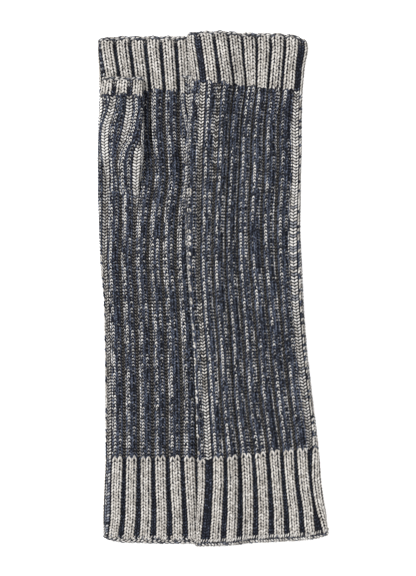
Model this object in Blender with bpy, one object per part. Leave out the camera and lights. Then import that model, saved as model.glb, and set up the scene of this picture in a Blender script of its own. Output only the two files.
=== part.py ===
"""A pair of knitted arm warmers, laid flat with one partly over the other.

Each warmer is a ribbed tube with a ribbed cuff at the hand, a deeper one at the arm, a bound edge at
both ends, and a thumb tube with a small cuff of its own. The left one lies palm up, with its thumb on
top. The right one lies palm down, its near side resting on the left one and its thumb folded under it.

Metres, +Z up, +Y towards the fingers. The origin is under the middle of the pair, on the table.
"""

import math
from collections import namedtuple

import bpy
import numpy as np
from mathutils import Matrix

MM = 0.001

# The knitted wall
RIBS = 17  # raised ribs round each tube, of two knit columns each
THUMB_RIBS = 6
WALL = 2.4 * MM  # at the crest of a rib
RIB_RELIEF = 1.2 * MM  # from a rib's crest down to the gutter beside it
WALE_DIP = 0.35 * MM  # the shallow groove between a rib's two columns, pressed flat underneath
LAYERS = 5.4 * MM  # a flattened tube: two walls with a slit between them
THUMB_WALL = 1.9 * MM
THUMB_RELIEF = 0.8 * MM
THUMB_LAYERS = 4.2 * MM
SEAM_GAP = 0.3 * MM  # between neighbouring pieces
EDGE_HEIGHT = 2.2 * MM  # the bound edge, along the tube
EDGE_ROUND = 0.4 * MM  # how far the bound edge's rims are drawn in
CLEAR_OF_END = 4 * MM  # least distance of a section from a piece's end, along the tube
CLEAR_OF_HOLE = 5 * MM  # the same, from the thumb's hole
GUTTER_FLOOR = 0.4  # share of a gutter's width that is level

# How far outside the left warmer's far edge the right one comes down to the table
DRAPE_RUN = 12 * MM
CORNER_POWER = 6  # how sharply an end turns in at its corners

# One row for each section of a warmer, from the fingers down, in millimetres.
# y: the section's height at its middle. rise: how much higher its right side is than its left.
# left, right: the two folds. ribs: share of the way round that is rib and not gutter.
# turn: way round from the left fold to the middle of the first gutter.
# front: how much wider than plain the upper side's gutters stand.
# in_left, in_right: how far the corners are drawn in towards the middle of the tube.
Section = namedtuple("Section", "y rise left right ribs turn front in_left in_right")

LEFT_SECTIONS = (
    Section(168.8, 0.0, -77.6, 7.0, 0.88, 2.4, 1.0, 1.8, 1.8),
    Section(164.5, 0.0, -77.9, 7.3, 0.79, 2.3, 1.0, 0.8, 0.8),
    Section(161.5, 0.0, -78.2, 7.5, 0.77, 2.5, 1.0, 0.4, 0.4),
    Section(148.5, 0.0, -77.4, 6.2, 0.77, 3.9, 1.0, 0.0, 0.0),
    Section(131.8, 0.0, -76.4, 4.0, 0.77, 5.9, 1.0, 0.0, 0.0),
    Section(112.0, 0.0, -77.2, 2.9, 0.73, 6.6, 1.0, 0.0, 0.0),
    Section(85.5, 0.0, -77.8, 2.6, 0.73, 7.3, 1.0, 0.0, 0.0),
    Section(65.0, 0.0, -77.6, 2.7, 0.73, 7.3, 1.0, 0.0, 0.0),
    Section(45.0, 0.0, -77.0, 3.2, 0.73, 6.7, 1.0, 0.0, 0.0),
    Section(18.0, 0.0, -76.2, 4.4, 0.73, 5.0, 1.0, 0.0, 0.0),
    Section(-8.5, 0.0, -74.0, 6.2, 0.73, 4.4, 1.0, 0.0, 0.0),
    Section(-42.0, 0.0, -73.2, 7.5, 0.73, 5.0, 1.0, 0.0, 0.0),
    Section(-75.5, 0.0, -72.8, 8.2, 0.73, 5.5, 1.0, 0.0, 0.0),
    Section(-113.6, 0.0, -72.8, 9.0, 0.72, 4.8, 0.90, 0.0, 0.0),
    Section(-135.5, 0.0, -73.7, 11.0, 0.69, 4.1, 0.91, 0.0, 0.0),
    Section(-155.0, 0.0, -74.4, 12.6, 0.65, 3.5, 0.96, 0.6, 0.6),
    Section(-171.7, -1.2, -74.4, 13.0, 0.63, 1.3, 1.25, 3.6, 3.2),
)

RIGHT_SECTIONS = (
    Section(171.2, -1.6, -17.4, 63.6, 0.88, 9.2, 1.0, 2.4, 4.6),
    Section(167.5, -2.3, -17.6, 64.2, 0.78, 9.4, 1.0, 1.0, 3.0),
    Section(162.0, -2.8, -17.6, 64.6, 0.76, 9.6, 1.0, 0.2, 1.2),
    Section(150.0, -4.4, -16.4, 62.2, 0.76, 9.9, 1.0, 0.0, 0.0),
    Section(134.4, -6.0, -14.9, 60.6, 0.76, 10.2, 1.0, 0.0, 0.0),
    Section(111.0, -4.7, -16.9, 60.2, 0.73, 11.2, 1.0, 0.0, 0.0),
    Section(92.0, -3.4, -18.6, 60.2, 0.73, 12.0, 1.0, 0.0, 0.0),
    Section(72.0, -2.0, -19.2, 59.6, 0.73, 12.3, 1.0, 0.0, 0.0),
    Section(38.5, 0.0, -19.2, 59.2, 0.73, 11.6, 1.0, 0.0, 0.0),
    Section(12.0, 1.3, -17.9, 60.5, 0.73, 9.8, 1.0, 0.0, 0.0),
    Section(-15.0, 2.7, -15.6, 61.6, 0.73, 9.0, 1.0, 0.0, 0.0),
    Section(-42.0, 4.0, -13.2, 63.6, 0.73, 8.9, 1.0, 0.0, 0.0),
    Section(-75.5, 5.4, -11.9, 67.3, 0.73, 9.5, 1.0, 0.0, 0.0),
    Section(-110.6, 7.4, -10.9, 71.6, 0.72, 9.9, 1.05, 0.0, 0.0),
    Section(-130.0, 7.0, -10.6, 74.0, 0.69, 9.1, 1.12, 0.0, 0.0),
    Section(-152.0, 6.6, -11.2, 76.6, 0.66, 8.3, 1.3, 0.0, 1.0),
    Section(-171.0, 4.4, -11.9, 78.2, 0.64, 7.8, 1.48, 0.6, 3.0),
)

# Gutters that stand open, by their number, as times the width of a plain one
LEFT_OPEN = {0: 1.9}
RIGHT_OPEN = {0: 2.8, 7: 2.7, **{k: 1.4 for k in range(9, 16)}}

# A gutter that is stretched wider, or drawn narrower, for part of its length
Stretch = namedtuple("Stretch", "gutter y half_length more")
LEFT_STRETCHES = (Stretch(2, 72.0, 26.0, 1.8), Stretch(2, 20.0, 60.0, 0.2))
RIGHT_STRETCHES = (
    Stretch(0, 20.0, 75.0, -1.2),
    Stretch(0, -120.0, 45.0, 0.3),
    Stretch(1, 105.0, 45.0, 1.0),
    Stretch(7, -138.0, 30.0, -1.1),
)

# Where the ribs lie nearer the left fold than even ones would. way is round the tube from that fold,
# and the lengths are in millimetres.
Drift = namedtuple("Drift", "way y half_width half_length amount")
LEFT_DRIFTS = (
    Drift(60.0, 40.0, 35.0, 60.0, -2.6),
    Drift(40.0, -70.0, 45.0, 60.0, -1.8),
)
RIGHT_DRIFTS = (
    Drift(59.0, 108.0, 26.8, 27.0, -3.4),
    Drift(59.0, 55.0, 26.8, 50.0, -4.6),
    Drift(37.0, -75.0, 23.0, 33.0, -1.9),
    Drift(80.0, -135.0, 20.0, 25.0, -2.5),
    Drift(84.0, -162.0, 8.0, 15.0, -1.0),
    Drift(77.0, 50.0, 10.0, 90.0, 0.8),
    Drift(34.0, 137.0, 14.0, 12.0, 1.4),
    Drift(53.0, 137.0, 8.0, 12.0, -0.8),
    Drift(20.0, 171.0, 25.0, 9.0, -0.7),
    Drift(83.0, 171.0, 15.0, 9.0, 0.8),
)

# Where the pieces of a warmer meet, as section heights
LEFT_JOINS = {"hand_end": 168.8, "hand_cuff": 131.8, "arm_cuff": -113.6, "arm_end": -171.7}
RIGHT_JOINS = {"hand_end": 171.2, "hand_cuff": 134.4, "arm_cuff": -110.6, "arm_end": -171.0}

# The hole that a thumb stands in: section heights, and the wall's columns at its two sides
Hole = namedtuple("Hole", "top bottom first last")
POINTS_PER_RIB = 5
LEFT_HOLE = Hole(88.2, 65.3, -1, 12)
RIGHT_HOLE = Hole(88.2, 65.3, 12 * POINTS_PER_RIB + 2, 15 * POINTS_PER_RIB + 1)

# One row for each ring of a thumb, from its tip to its root, in millimetres. near and far: height of
# the wall against the hand and of the one away from it. out: how far the far wall stands off the
# hand. At the root the two walls part, so that the mouth opens into the hole.
ThumbRing = namedtuple("ThumbRing", "near far left right out")
FULL_OUT = SEAM_GAP / MM + THUMB_LAYERS / MM

LEFT_THUMB = (
    ThumbRing(141.0, 141.0, -74.2, -45.6, FULL_OUT),
    ThumbRing(128.4, 128.4, -76.4, -45.4, FULL_OUT),
    ThumbRing(126.4, 126.4, -76.5, -45.5, FULL_OUT),
    ThumbRing(115.6, 115.2, -77.2, -45.8, FULL_OUT),
    ThumbRing(104.2, 101.6, -77.2, -46.0, FULL_OUT),
    ThumbRing(96.8, 91.0, -76.2, -46.0, 4.3),
    ThumbRing(92.0, 82.0, -74.6, -46.6, 3.7),
    ThumbRing(89.4, 74.0, -73.0, -47.4, 2.4),
    ThumbRing(87.6, 66.0, -72.4, -48.0, 0.1),
)
RIGHT_THUMB = (
    ThumbRing(139.2, 139.2, -21.9, 6.8, FULL_OUT),
    ThumbRing(126.7, 126.7, -21.6, 7.6, FULL_OUT),
    ThumbRing(124.7, 124.7, -21.4, 7.8, FULL_OUT),
    ThumbRing(118.6, 118.2, -20.9, 8.2, FULL_OUT),
    ThumbRing(107.2, 104.6, -18.4, 9.4, FULL_OUT),
    ThumbRing(96.8, 91.0, -15.4, 9.8, 4.3),
    ThumbRing(92.0, 82.0, -14.0, 9.6, 3.7),
    ThumbRing(89.4, 74.0, -13.2, 9.4, 2.4),
    ThumbRing(87.6, 66.0, -12.8, 9.2, 0.1),
)

# A thumb's gutters from its root to its tip: at each height, (way to the middle, half width) of the
# first gutters, in millimetres. The others share what is left of the way round.
THUMB_REST = 1.3  # half width of the others
LEFT_THUMB_GUTTERS = (
    (66.0, (-7.0, 1.4), (2.0, 2.4), (10.8, 0.5), (21.9, 2.7)),
    (74.0, (-6.0, 1.4), (3.0, 2.7), (11.6, 0.7), (23.0, 2.9)),
    (82.0, (-5.0, 1.6), (4.3, 2.8), (12.8, 1.2), (25.0, 2.9)),
    (91.0, (-3.5, 2.0), (6.2, 2.8), (15.9, 1.8), (27.4, 2.6)),
    (95.0, (-3.0, 2.2), (6.7, 2.8), (17.3, 2.1), (28.6, 1.4)),
    (98.8, (-2.5, 2.5), (7.2, 2.8), (18.6, 2.4), (29.5, 0.6)),
    (108.0, (-0.4, 4.4), (7.9, 2.8), (20.9, 2.7), (31.5, 0.5)),
    (118.0, (1.2, 4.3), (9.8, 2.8), (22.2, 2.8), (33.0, 0.5)),
    (127.0, (1.0, 3.4), (10.2, 2.6), (21.6, 2.6), (32.6, 0.5)),
    (128.6, (-0.5, 1.6), (10.9, 1.5), (21.8, 1.9), (32.4, 1.9)),
    (141.0, (-0.5, 1.4), (10.0, 1.4), (20.6, 1.8), (31.0, 1.8)),
)
RIGHT_THUMB_GUTTERS = (
    (66.0, (-1.0, 1.4), (6.0, 1.4)),
    (96.0, (0.0, 2.0), (6.0, 1.6)),
    (107.0, (1.0, 2.4), (6.4, 1.8)),
    (125.0, (1.0, 2.4), (6.6, 1.8)),
    (127.0, (-2.5, 1.4), (5.6, 1.9)),
    (139.2, (-2.5, 1.4), (5.2, 1.8)),
)

# Where the right warmer rides up over its own thumb: full height between the two inner limits
THUMB_UNDER = {"hand_zero": 162.0, "hand_full": 150.0, "arm_full": 88.0, "arm_zero": 48.0}
THUMB_UNDER_RIGHT = 10.8  # x of the thumb's far side
THUMB_UNDER_RUN = 16.0  # how far beyond that the cloth comes down

# Low swellings of the upper wall, in millimetres
Swell = namedtuple("Swell", "x y half_width half_length height")
LEFT_SWELLS = (
    Swell(-57.0, 30.0, 12.0, 55.0, 0.8),
    Swell(-38.0, -55.0, 11.0, 60.0, 0.7),
    Swell(-36.0, 130.0, 9.0, 50.0, 0.6),
)
RIGHT_SWELLS = (
    Swell(12.0, 60.0, 11.0, 70.0, 0.8),
    Swell(40.0, 110.0, 12.0, 60.0, 0.7),
    Swell(34.0, -40.0, 14.0, 80.0, 0.9),
)

SHADING_ANGLE = 40  # degrees between faces, above which an edge is drawn sharp
YARN_ROUGHNESS = 0.92

# Base colours of the three knits
COLOURS = {
    "ecru_rib": (0.58, 0.55, 0.50),
    "navy_marl": (0.10, 0.12, 0.17),
    "edge_marl": (0.27, 0.28, 0.30),
}


def smooth_step(value):
    """0 below 0 and 1 above 1, with an easy curve between."""
    value = min(max(value, 0.0), 1.0)
    return value * value * (3 - 2 * value)


def section_at(table, y):
    """The section of a table at height y, in metres, between its rows."""
    heights = [-row.y for row in table]
    columns = [np.interp(-y / MM, heights, column) for column in zip(*table)]
    row = Section(*columns)
    return row._replace(
        y=y,
        rise=row.rise * MM,
        left=row.left * MM,
        right=row.right * MM,
        turn=row.turn * MM,
        in_left=row.in_left * MM,
        in_right=row.in_right * MM,
    )


def swelling(swells, x, y):
    """Height of the upper wall's low swellings at a place."""
    total = 0.0
    for swell in swells:
        across = (x / MM - swell.x) / swell.half_width
        along = (y / MM - swell.y) / swell.half_length
        total += swell.height * math.exp(-across * across - along * along)
    return total * MM


def flat_on_table(x, y):
    """The left warmer lies on the table."""
    return 0.0


def over_left_warmer(x, y):
    """Height of what lies under the right warmer: the left one, the table, and its own thumb."""
    far_side = section_at(LEFT_SECTIONS, y).right
    on_left = 1 - smooth_step((x - far_side) / DRAPE_RUN)
    along = y / MM
    towards_hand = THUMB_UNDER["hand_zero"] - THUMB_UNDER["hand_full"]
    towards_arm = THUMB_UNDER["arm_full"] - THUMB_UNDER["arm_zero"]
    on_thumb = smooth_step((THUMB_UNDER["hand_zero"] - along) / towards_hand)
    on_thumb *= smooth_step((along - THUMB_UNDER["arm_zero"]) / towards_arm)
    on_thumb *= 1 - smooth_step((x / MM - THUMB_UNDER_RIGHT) / THUMB_UNDER_RUN)
    return on_left * (LAYERS + SEAM_GAP) + on_thumb * FULL_OUT * MM


Warmer = namedtuple(
    "Warmer",
    "name sections opened stretches drifts joins hole swells ground palm_up thumb thumb_gutters",
)
LEFT = Warmer(
    name="left",
    sections=LEFT_SECTIONS,
    opened=LEFT_OPEN,
    stretches=LEFT_STRETCHES,
    drifts=LEFT_DRIFTS,
    joins=LEFT_JOINS,
    hole=LEFT_HOLE,
    swells=LEFT_SWELLS,
    ground=flat_on_table,
    palm_up=True,
    thumb=LEFT_THUMB,
    thumb_gutters=LEFT_THUMB_GUTTERS,
)
RIGHT = Warmer(
    name="right",
    sections=RIGHT_SECTIONS,
    opened=RIGHT_OPEN,
    stretches=RIGHT_STRETCHES,
    drifts=RIGHT_DRIFTS,
    joins=RIGHT_JOINS,
    hole=RIGHT_HOLE,
    swells=RIGHT_SWELLS,
    ground=over_left_warmer,
    palm_up=False,
    thumb=RIGHT_THUMB,
    thumb_gutters=RIGHT_THUMB_GUTTERS,
)


def way_round(width, layers):
    """Length round a flattened tube with round folds, measured on its crests."""
    return 2 * (width - layers) + math.pi * layers


def on_flat_tube(width, layers, way):
    """Place on a flattened tube's section, this far round from its left fold over the top.

    Returns x from the left fold, height over the middle plane, and the outward normal (x, z)."""
    radius = layers / 2
    level = width - layers
    quarter = math.pi * radius / 2
    way %= way_round(width, layers)
    half = way_round(width, layers) / 2
    under = way > half
    along = 2 * half - way if under else way
    if along < quarter:
        angle = along / radius
        place = (radius * (1 - math.cos(angle)), radius * math.sin(angle))
        normal = (-math.cos(angle), math.sin(angle))
    elif along > half - quarter:
        angle = (half - along) / radius
        place = (width - radius * (1 - math.cos(angle)), radius * math.sin(angle))
        normal = (math.cos(angle), math.sin(angle))
    else:
        place = (radius + along - quarter, radius)
        normal = (0.0, 1.0)
    side = -1 if under else 1
    return place[0], side * place[1], normal[0], side * normal[1]


def drifted(drifts, way, y, total):
    """The way round to a place once the ribs have drifted. y is the section's height."""
    moved = way
    for drift in drifts:
        apart = (way - drift.way * MM + total / 2) % total - total / 2
        across = apart / (drift.half_width * MM)
        along = (y / MM - drift.y) / drift.half_length
        moved += drift.amount * MM * math.exp(-across * across - along * along)
    return moved


def rib_columns(ribs, total):
    """Ways round, and depths below the crest as shares of the relief, of the points of all ribs.

    ribs holds the ways round to each rib's two sides.

    A rib's five points are the end of the gutter's floor, its two crest corners with the dip of
    the groove between its columns, and the start of the next gutter's floor."""
    columns = []
    for number, (crest, end) in enumerate(ribs):
        last_end = ribs[number - 1][1] - (total if number == 0 else 0.0)
        at_last = number == len(ribs) - 1
        next_crest = ribs[(number + 1) % len(ribs)][0] + (total if at_last else 0.0)
        floor_end = (1 - GUTTER_FLOOR) / 2 * (crest - last_end)
        floor_start = (1 - GUTTER_FLOOR) / 2 * (next_crest - end)
        columns += [
            (crest - floor_end, 1.0),
            (crest, 0.0),
            ((crest + end) / 2, None),
            (end, 0.0),
            (end + floor_start, 1.0),
        ]
    return columns


def bent_height(section, x):
    """A section's own height at x: it slants, and turns in at the corners of an open end."""
    middle = (section.left + section.right) / 2
    share = (x - middle) / ((section.right - section.left) / 2)
    share = min(max(share, -1.0), 1.0)
    inward = -1 if section.y > 0 else 1
    corner = section.in_left if share < 0 else section.in_right
    return section.y + section.rise * share / 2 + inward * corner * abs(share) ** CORNER_POWER


def ribbed_depth(share, way, total, relief):
    """Depth below the crests of one of a rib's points. share is None in the groove at its middle."""
    if share is None:
        return WALE_DIP if way % total < total / 2 else 0.0
    return share * relief


def body_point(warmer, section, way, depth):
    """A point of a warmer's wall, this far round and this far in from the crests."""
    width = section.right - section.left
    across, up, normal_x, normal_z = on_flat_tube(width, LAYERS, way)
    x = section.left + across - depth * normal_x
    y = bent_height(section, x)
    lift = max(normal_z, 0.0) * swelling(warmer.swells, x, y)
    z = warmer.ground(x, y) + LAYERS / 2 + up - depth * normal_z + lift
    return x, y, z


def gutter_weights(warmer, section):
    """Widths of a warmer's gutters at a section, as times that of a plain one."""
    weights = [section.front if number <= RIBS // 2 else 1.0 for number in range(RIBS)]
    for number, opened in warmer.opened.items():
        weights[number] = opened
    for stretch in warmer.stretches:
        along = (section.y / MM - stretch.y) / stretch.half_length
        weights[stretch.gutter] += stretch.more * math.exp(-along * along)
    return weights


def body_ribs(warmer, section, total):
    """The two sides of each of a warmer's ribs at a section, as ways round from its left fold."""
    weights = gutter_weights(warmer, section)
    width = section.ribs * total / RIBS
    plain = (total - RIBS * width) / sum(weights)
    ribs = []
    way = section.turn - plain * weights[0] / 2
    for weight in weights:
        way += plain * weight
        sides = (way, way + width)
        ribs.append(tuple(drifted(warmer.drifts, side, section.y, total) for side in sides))
        way += width
    return ribs


def body_ring(warmer, y, wall_depth=None):
    """One ring of a warmer's wall: the ribbed outside, or the plain inside at wall_depth."""
    section = section_at(warmer.sections, y)
    total = way_round(section.right - section.left, LAYERS)
    ring = []
    for way, share in rib_columns(body_ribs(warmer, section, total), total):
        depth = ribbed_depth(share, way, total, RIB_RELIEF) if wall_depth is None else wall_depth
        ring.append(body_point(warmer, section, way, depth))
    return ring


def thumb_ribs(rows, y, total):
    """The two sides of each of a thumb's ribs, from the rows of its gutters at y in millimetres."""
    heights = [row[0] for row in rows]
    gutters = []
    for column in range(1, len(rows[0])):
        middle, half = (
            np.interp(y, heights, [row[column][part] for row in rows]) * MM for part in (0, 1)
        )
        gutters.append((middle - half, middle + half))
    rest = 2 * THUMB_REST * MM
    others = THUMB_RIBS - len(gutters)
    free = gutters[0][0] + total - gutters[-1][1]
    width = (free - rest * others) / (others + 1)
    for _ in range(others):
        start = gutters[-1][1] + width
        gutters.append((start, start + rest))
    after = [*gutters[1:], (gutters[0][0] + total, gutters[0][1] + total)]
    return [(end, start) for (_, end), (start, _) in zip(gutters, after)]


def thumb_ring(warmer, ring, wall_depth=None):
    """One ring of a thumb: ribbed outside, or plain at wall_depth."""
    left, right = ring.left * MM, ring.right * MM
    total = way_round(right - left, THUMB_LAYERS)
    points = []
    for way, share in rib_columns(thumb_ribs(warmer.thumb_gutters, ring.far, total), total):
        depth = ribbed_depth(share, way, total, THUMB_RELIEF) if wall_depth is None else wall_depth
        across, up, normal_x, normal_z = on_flat_tube(right - left, THUMB_LAYERS, way)
        outward = (1 + up / (THUMB_LAYERS / 2)) / 2  # 0 on the near wall and 1 on the far one
        x = left + across - depth * normal_x
        height = (ring.near + (ring.far - ring.near) * outward) * MM
        y = bent_height(section_at(warmer.sections, height)._replace(in_left=0.0, in_right=0.0), x)
        out = SEAM_GAP + (ring.out * MM - SEAM_GAP) * outward - depth * normal_z
        points.append((x, y, hand_surface(warmer, x, y, out)))
    return points


def hand_surface(warmer, x, y, out):
    """Height of a place that lies this far off the hand's palm side."""
    if warmer.palm_up:
        return warmer.ground(x, y) + LAYERS + swelling(warmer.swells, x, y) + out
    return warmer.ground(x, y) - out


def wall_mesh(outer_rings, inner_rings, kept, hole=None, turned_over=False):
    """Vertices and faces of a tube's wall, from rings given end to end.

    kept lists the columns that the plain inside keeps. hole is (first ring, last ring, first
    column, last column) of an opening in the wall, with sides of its own. turned_over is for a tube
    whose top and underside are swapped."""
    count = len(outer_rings[0])
    vertices = [point for ring in outer_rings for point in ring]
    inner_start = len(vertices)
    vertices += [ring[column] for ring in inner_rings for column in kept]
    spot = {column: number for number, column in enumerate(kept)}
    faces = []

    def outer(ring, column):
        return ring * count + column % count

    def inner(ring, column):
        return inner_start + ring * len(kept) + spot[column % count]

    def in_hole(ring, column):
        if hole is None:
            return False
        first_ring, last_ring, first, last = hole
        return first_ring <= ring < last_ring and (column - first) % count < last - first

    def rim(ring, columns, flip):
        """Joins the outside to the inside along one ring, between the columns that both have."""
        for start, end in zip(columns, columns[1:]):
            for column in range(start, end):
                face = (outer(ring, column), outer(ring, column + 1), inner(ring, start))
                faces.append(face[::-1] if flip else face)
            face = (outer(ring, end), inner(ring, end), inner(ring, start))
            faces.append(face[::-1] if flip else face)

    def wall(first, second):
        """One face of the wall between four corners, given as two pairs."""
        faces.append((*first, *reversed(second)))

    around = [*kept, kept[0] + count]
    for ring in range(len(outer_rings) - 1):
        below = ring + 1
        for column in range(count):
            if not in_hole(ring, column):
                pair = column, column + 1
                wall([outer(ring, side) for side in pair], [outer(below, side) for side in pair])
        for start, end in zip(around, around[1:]):
            if not in_hole(ring, start):
                wall((inner(below, start), inner(below, end)), (inner(ring, start), inner(ring, end)))
    rim(0, around, True)
    rim(len(outer_rings) - 1, around, False)
    if hole is not None:
        first_ring, last_ring, first, last = hole
        within = [first + step for step in range(last - first + 1) if (first + step) % count in spot]
        rim(first_ring, within, False)
        rim(last_ring, within, True)
        for ring in range(first_ring, last_ring):
            below = ring + 1
            wall((outer(below, first), outer(ring, first)), (inner(below, first), inner(ring, first)))
            wall((outer(ring, last), outer(below, last)), (inner(ring, last), inner(below, last)))
    if not turned_over:
        faces = [face[::-1] for face in faces]
    return vertices, faces


def material_named(name):
    """A plain matt material in one of the knit's colours."""
    material = bpy.data.materials.get(name)
    if material is None:
        material = bpy.data.materials.new(name)
        material.use_nodes = True
        shader = material.node_tree.nodes["Principled BSDF"]
        shader.inputs["Base Color"].default_value = (*COLOURS[name], 1.0)
        shader.inputs["Roughness"].default_value = YARN_ROUGHNESS
        shader.inputs["Metallic"].default_value = 0.0
    return material


def add_piece(name, vertices, faces, material):
    """Makes one named object from a closed wall."""
    mesh = bpy.data.meshes.new(name)
    mesh.from_pydata(vertices, [], faces)
    mesh.validate()
    mesh.materials.append(material_named(material))
    mesh.shade_smooth()
    mesh.set_sharp_from_angle(angle=math.radians(SHADING_ANGLE))
    piece = bpy.data.objects.new(name, mesh)
    bpy.context.scene.collection.objects.link(piece)
    return piece


def every_other(count, extra=()):
    """Every second column, with the extra ones."""
    return sorted(set(range(0, count, 2)) | {column % count for column in extra})


def add_tube(warmer, part, heights, material, hole=None):
    """A ribbed tube of the warmer through rings at these section heights, from the fingers down."""
    outer = [body_ring(warmer, y) for y in heights]
    inner = [body_ring(warmer, y, WALL) for y in heights]
    extra = () if hole is None else hole[2:]
    kept = every_other(RIBS * POINTS_PER_RIB, extra)
    add_piece(f"{warmer.name}_{part}", *wall_mesh(outer, inner, kept, hole), material)


def add_edge(warmer, part, top, bottom):
    """A bound edge: a low band with soft rims and no ribs."""
    heights = (top, (top + bottom) / 2, bottom)
    depths = (EDGE_ROUND, 0.0, EDGE_ROUND)
    outer = [body_ring(warmer, y, depth) for y, depth in zip(heights, depths)]
    inner = [body_ring(warmer, y, WALL - EDGE_ROUND) for y in heights]
    kept = every_other(RIBS * POINTS_PER_RIB)
    add_piece(f"{warmer.name}_{part}", *wall_mesh(outer, inner, kept), "edge_marl")


def add_warmer_tubes(warmer):
    """The edges, cuffs and body of one warmer, apart by the seam gap."""
    joins = {name: y * MM for name, y in warmer.joins.items()}
    half_gap = SEAM_GAP / 2
    rows = [row.y * MM for row in warmer.sections]
    hand_edge = joins["hand_end"] - EDGE_HEIGHT
    arm_edge = joins["arm_end"] + EDGE_HEIGHT

    def rings(top, bottom, extra=()):
        """Both ends, the section rows well between them, and any extra heights."""
        between = [y for y in rows if bottom + CLEAR_OF_END < y < top - CLEAR_OF_END]
        return [top, *sorted([*between, *extra], reverse=True), bottom]

    add_edge(warmer, "hand_edge", joins["hand_end"], hand_edge + half_gap)
    add_tube(warmer, "hand_cuff", rings(hand_edge - half_gap, joins["hand_cuff"] + half_gap), "ecru_rib")
    hole_top, hole_bottom = warmer.hole.top * MM, warmer.hole.bottom * MM
    opening = [hole_top, (hole_top + hole_bottom) / 2, hole_bottom]
    rows = [y for y in rows if not hole_bottom - CLEAR_OF_HOLE < y < hole_top + CLEAR_OF_HOLE]
    heights = rings(joins["hand_cuff"] - half_gap, joins["arm_cuff"] + half_gap, opening)
    first_ring = heights.index(opening[0])
    hole = (first_ring, first_ring + 2, warmer.hole.first, warmer.hole.last)
    add_tube(warmer, "body", heights, "navy_marl", hole)
    add_tube(warmer, "arm_cuff", rings(joins["arm_cuff"] - half_gap, arm_edge + half_gap), "ecru_rib")
    add_edge(warmer, "arm_edge", arm_edge - half_gap, joins["arm_end"])


def between_rings(first, second, share):
    """The ring of a thumb at this share of the way from one to the next."""
    return ThumbRing(*(a + (b - a) * share for a, b in zip(first, second)))


def add_thumb(warmer):
    """A thumb's bound edge, cuff and tube. It lies off the hand, so an underside one is turned over."""
    tip, cuff_end, *rest = warmer.thumb
    length = tip.far - cuff_end.far
    edge_end = between_rings(tip, cuff_end, EDGE_HEIGHT / MM / length)
    edge_middle = between_rings(tip, edge_end, 0.5)
    cuff_start = between_rings(tip, cuff_end, (EDGE_HEIGHT + SEAM_GAP) / MM / length)
    cuff_middle = between_rings(cuff_start, cuff_end, 0.5)
    tube_start = between_rings(cuff_end, rest[0], SEAM_GAP / MM / (cuff_end.far - rest[0].far))
    kept = every_other(THUMB_RIBS * POINTS_PER_RIB)
    pieces = (
        ("thumb_cuff", [cuff_start, cuff_middle, cuff_end], "ecru_rib"),
        ("thumb", [tube_start, *rest], "navy_marl"),
    )
    for part, rings, material in pieces:
        outer = [thumb_ring(warmer, ring) for ring in rings]
        inner = [thumb_ring(warmer, ring, THUMB_WALL) for ring in rings]
        mesh = wall_mesh(outer, inner, kept, turned_over=not warmer.palm_up)
        add_piece(f"{warmer.name}_{part}", *mesh, material)
    rings = (tip, edge_middle, edge_end)
    depths = (EDGE_ROUND, 0.0, EDGE_ROUND)
    outer = [thumb_ring(warmer, ring, depth) for ring, depth in zip(rings, depths)]
    inner = [thumb_ring(warmer, ring, THUMB_WALL - EDGE_ROUND) for ring in rings]
    mesh = wall_mesh(outer, inner, kept, turned_over=not warmer.palm_up)
    add_piece(f"{warmer.name}_thumb_edge", *mesh, "edge_marl")


def centre_on_origin():
    """Moves all pieces so that the middle of the pair is over the origin, and its underside at it."""
    meshes = [piece.data for piece in bpy.data.objects]
    places = np.array([vertex.co for mesh in meshes for vertex in mesh.vertices])
    low, high = places.min(axis=0), places.max(axis=0)
    middle = (low + high) / 2
    for mesh in meshes:
        mesh.transform(Matrix.Translation((-middle[0], -middle[1], -low[2])))


def build():
    """Clears the scene and makes the pair."""
    for item in list(bpy.data.objects):
        bpy.data.objects.remove(item)
    for warmer in (LEFT, RIGHT):
        add_warmer_tubes(warmer)
        add_thumb(warmer)
    centre_on_origin()


build()
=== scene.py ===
"""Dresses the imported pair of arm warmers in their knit: every stitch of the ribs, in two yarns.

Lengths are in millimetres, in the tables' own frame, until mesh_from makes a mesh of them. The
materials, floor, camera and lamps are in metres.
"""

import math
from collections import namedtuple

import bpy
import numpy as np
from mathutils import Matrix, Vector


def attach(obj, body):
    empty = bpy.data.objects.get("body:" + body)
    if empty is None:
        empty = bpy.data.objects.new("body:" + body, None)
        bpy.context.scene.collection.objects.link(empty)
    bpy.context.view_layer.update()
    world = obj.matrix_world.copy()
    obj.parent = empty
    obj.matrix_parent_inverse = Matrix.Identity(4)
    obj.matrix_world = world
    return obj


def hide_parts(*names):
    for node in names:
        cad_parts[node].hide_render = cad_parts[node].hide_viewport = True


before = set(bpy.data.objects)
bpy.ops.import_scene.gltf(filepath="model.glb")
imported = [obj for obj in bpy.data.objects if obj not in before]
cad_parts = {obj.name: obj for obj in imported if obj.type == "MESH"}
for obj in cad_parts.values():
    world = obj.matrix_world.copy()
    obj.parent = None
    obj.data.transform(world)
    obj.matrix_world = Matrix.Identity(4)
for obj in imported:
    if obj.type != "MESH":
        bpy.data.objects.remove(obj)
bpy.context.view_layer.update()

MM = 0.001
CENTRE = np.array([0.148, 0.544, 0.0])  # from the tables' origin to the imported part's

# The photograph that the tables are measured on
PHOTO_SIZE = (416, 576)
PIXEL = 0.67
ORIGIN_PIXEL = (212.75, 287.5)  # the tables' origin in it
SHOWN_HEIGHT = 8.0  # above the floor, where a pixel has that size

RIBS = 17
THUMB_RIBS = 6
LAYERS = 5.4  # how thick a flattened tube is
THUMB_LAYERS = 4.2
SEAM_GAP = 0.3  # between neighbouring pieces
EDGE_HEIGHT = 2.2  # a bound edge, along the tube
DRAPE_RUN = 12.0  # the way on which the right warmer comes down beside the left one
CORNER_POWER = 6  # how sharply an end turns in at its corners

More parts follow.
